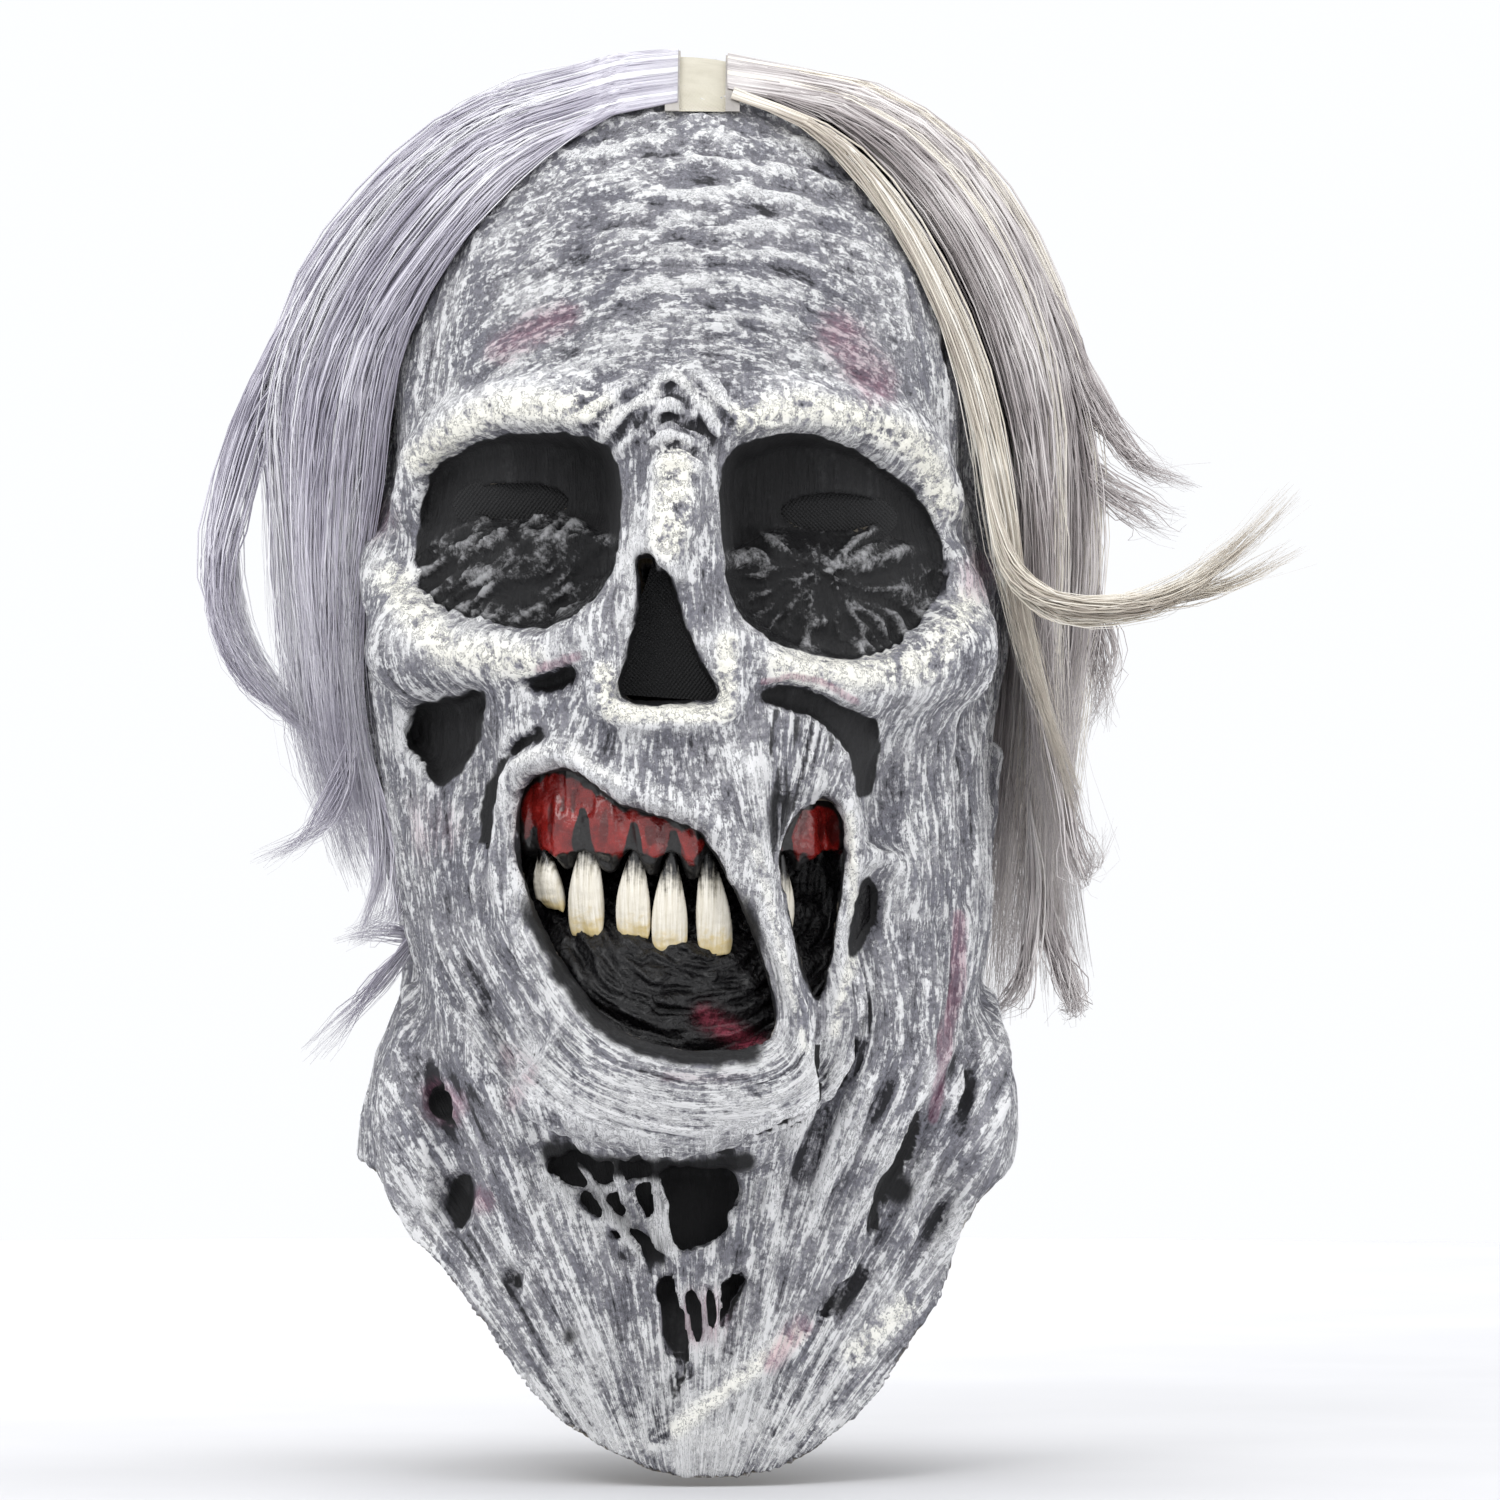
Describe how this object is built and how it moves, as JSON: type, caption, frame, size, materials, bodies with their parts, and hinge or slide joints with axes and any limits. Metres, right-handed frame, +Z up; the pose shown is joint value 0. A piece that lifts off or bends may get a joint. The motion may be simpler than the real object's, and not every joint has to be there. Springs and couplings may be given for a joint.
{
  "type": "full-head latex costume mask",
  "caption": "Full-head decayed-face latex costume mask with open mouth, bare teeth, screened eye sockets and long hair parted over the crown.",
  "frame": {"origin": "middle of the wearer's head at eye level, inside the mask", "axes": "+Z up, the face looks along -Y, +X to the viewer's right"},
  "size_m": [0.3036, 0.2504, 0.4039],
  "materials": {
    "skin": "grey painted latex, dry-brushed white, matt with satin recesses",
    "screen": "black see-through mesh",
    "lining": "glossy black latex",
    "gum": "wet-look red paint",
    "tooth": "ivory with stained edges",
    "ribbon": "cream woven ribbon",
    "weft": "stitched grey thread",
    "hair_left": "silver-lavender synthetic fibre",
    "hair_right": "warm grey synthetic fibre"
  },
  "bodies": {
    "mask": {"crown_hair_left": "hair_left", "crown_hair_right": "hair_right", "eye_screen_left": "screen", "eye_screen_right": "screen", "latex_skin": "skin", "mouth_lining": "lining", "nose_screen": "screen", "parting_tape": "ribbon", "tooth_1": "tooth", "tooth_2": "tooth", "tooth_3": "tooth", "tooth_4": "tooth", "tooth_5": "tooth", "tooth_6": "tooth", "upper_gum": "gum", "weft_band_back": "weft", "weft_band_left": "weft", "weft_band_right": "weft", "weft_track_left": "weft", "weft_track_right": "weft"},
    "hair_left": {"hair_left_curtain": "hair_left"},
    "hair_right": {"hair_right_curtain": "hair_right", "hair_right_temple_lock": "hair_right", "hair_right_flick_lock": "hair_right"},
    "hair_back": {"hair_back_curtain": "hair_right"}
  },
  "joints": [
    {"name": "hair_left_lift", "type": "hinge", "parent": "mask", "child": "hair_left", "pos_m": [-0.076, 0.017, 0.088], "axis": [0, 1, 0], "range_deg": [0, 45]},
    {"name": "hair_right_lift", "type": "hinge", "parent": "mask", "child": "hair_right", "pos_m": [0.076, 0.017, 0.088], "axis": [0, -1, 0], "range_deg": [0, 45]},
    {"name": "hair_back_lift", "type": "hinge", "parent": "mask", "child": "hair_back", "pos_m": [0, 0.1, 0.088], "axis": [1, 0, 0], "range_deg": [0, 45]}
  ]
}
